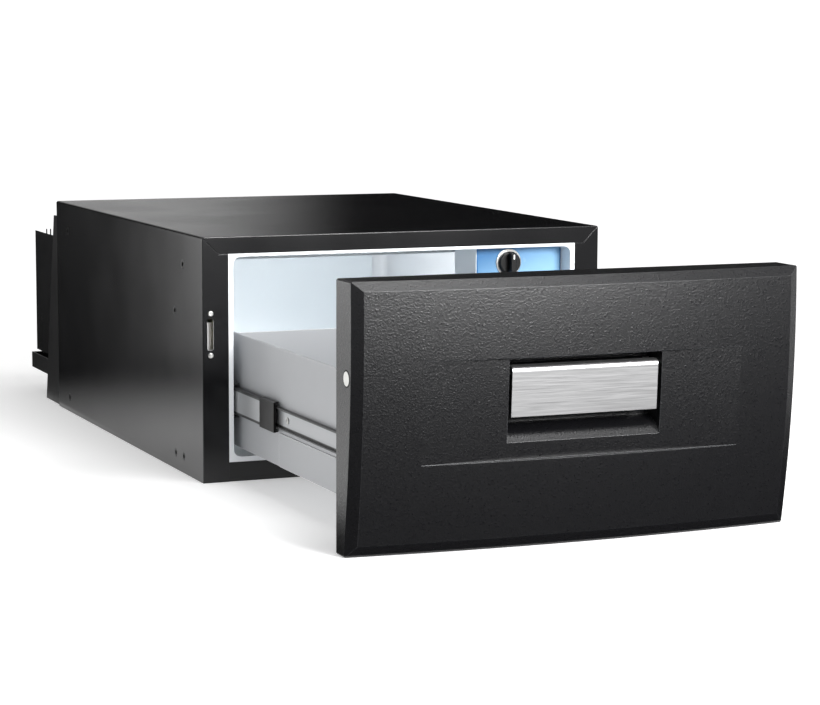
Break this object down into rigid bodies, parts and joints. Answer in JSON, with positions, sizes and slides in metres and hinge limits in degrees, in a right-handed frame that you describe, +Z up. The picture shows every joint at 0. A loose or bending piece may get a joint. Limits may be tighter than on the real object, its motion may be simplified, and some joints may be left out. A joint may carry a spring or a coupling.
{
  "type": "drawer compressor fridge",
  "caption": "Built-in drawer fridge for caravans: black steel cabinet, pull-out drawer on telescopic slides, bowed charcoal door with latch handle, compressor unit behind.",
  "frame": {"origin": "centre of the cabinet's bottom face", "axes": "+Z up, the drawer opens along -Y, +X to the right seen from the front"},
  "size_m": [0.44, 1.1276, 0.248],
  "materials": {
    "satin_black_steel": "satin black powder coat on the outer sheets",
    "galvanised_steel": "bare zinc-plated rails and screws",
    "black_steel": "black enamel on the rear unit's metal",
    "white_liner": "white vacuum-formed liner",
    "insulation_foam": "closed-cell foam, sealed inside",
    "grey_drawer_sheet": "light grey coated drawer sheet",
    "grained_charcoal": "pebble-grained charcoal cover",
    "white_plastic": "white moulded plastic",
    "grey_plastic": "pale blue-grey moulded plastic",
    "black_plastic": "black moulded plastic",
    "brushed_stainless": "horizontal brushing",
    "bright_steel": "nickel-plated steel",
    "blue_label": "printed blue label",
    "black_gasket": "magnetic door seal",
    "grommet_rubber": "compressor feet",
    "roll_bond_aluminium": "bare aluminium plate",
    "copper_pipe": "bare copper pipe",
    "clear_lens": "frosted light window"
  },
  "bodies": {
    "cabinet": {"cabinet_wrap": "satin_black_steel", "base_pan": "satin_black_steel", "rear_panel": "galvanised_steel", "foam_insulation": "insulation_foam", "inner_liner": "white_liner", "fixing_inserts": "black_plastic", "strike_plates": "bright_steel", "strike_screws": "bright_steel", "cabinet_rail_left": "galvanised_steel", "cabinet_rail_right": "galvanised_steel", "cabinet_rail_screws": "bright_steel", "control_housing": "grey_plastic", "control_label": "blue_label", "knob_ring": "bright_steel", "thermostat_body": "black_plastic", "light_lens": "clear_lens", "evaporator_plate": "roll_bond_aluminium", "evaporator_spacers": "white_plastic", "rear_gussets": "black_steel", "gusset_screws": "bright_steel", "carrier_tray": "black_steel", "compressor": "black_steel", "rubber_grommets": "grommet_rubber", "tray_bolts": "bright_steel", "condenser_tube": "black_steel", "condenser_wires": "black_steel", "condenser_posts": "black_steel", "discharge_pipe": "copper_pipe", "suction_pipe": "copper_pipe", "fan_frame": "black_plastic", "control_electronics": "roll_bond_aluminium", "electronics_cover": "black_plastic", "supply_terminal": "black_plastic", "filter_drier": "copper_pipe"},
    "slides": {"middle_rail_left": "galvanised_steel", "middle_rail_right": "galvanised_steel", "rail_clips": "black_plastic", "slide_balls": "bright_steel"},
    "drawer": {"drawer_side_left": "grey_drawer_sheet", "drawer_side_right": "grey_drawer_sheet", "drawer_floor": "grey_drawer_sheet", "drawer_back": "grey_drawer_sheet", "drawer_front": "grey_drawer_sheet", "drawer_rivets": "bright_steel", "front_brackets": "grey_drawer_sheet", "drawer_rail_left": "galvanised_steel", "drawer_rail_right": "galvanised_steel", "drawer_screws": "bright_steel", "door_cover": "grained_charcoal", "door_foam": "insulation_foam", "door_inner_panel": "black_plastic", "door_gasket": "black_gasket", "shaft_caps": "white_plastic", "handle_spring": "bright_steel"},
    "handle": {"handle_plate": "brushed_stainless", "handle_carrier": "black_plastic", "latch_shaft": "bright_steel", "latch_hooks": "bright_steel"},
    "knob": {"thermostat_knob": "black_plastic"},
    "fan": {"fan_rotor": "black_plastic"}
  },
  "joints": [
    {"name": "drawer_slide", "type": "slide", "parent": "cabinet", "child": "drawer", "axis": [0, -1, 0], "range_m": [-0.3606, 0.02]},
    {"name": "middle_rail_slide", "type": "slide", "parent": "cabinet", "child": "slides", "axis": [0, -1, 0], "range_m": [-0.1803, 0.01]},
    {"name": "handle_hinge", "type": "hinge", "parent": "drawer", "child": "handle", "pos_m": [0, -0.67, 0.1573], "axis": [-1, 0, 0], "range_deg": [0, 14], "stiffness_Nm_per_rad": 1.2, "springref_deg": -5.73},
    {"name": "thermostat_turn", "type": "hinge", "parent": "cabinet", "child": "knob", "pos_m": [0.1255, -0.262, 0.21], "axis": [0, -1, 0], "range_deg": [-135, 135]},
    {"name": "fan_spin", "type": "hinge", "parent": "cabinet", "child": "fan", "pos_m": [-0.11, 0.364, 0.0705], "axis": [0, 1, 0], "continuous": true}
  ],
  "couplings": [
    {"joint": "middle_rail_slide", "follows": "drawer_slide", "ratio": 0.5}
  ]
}
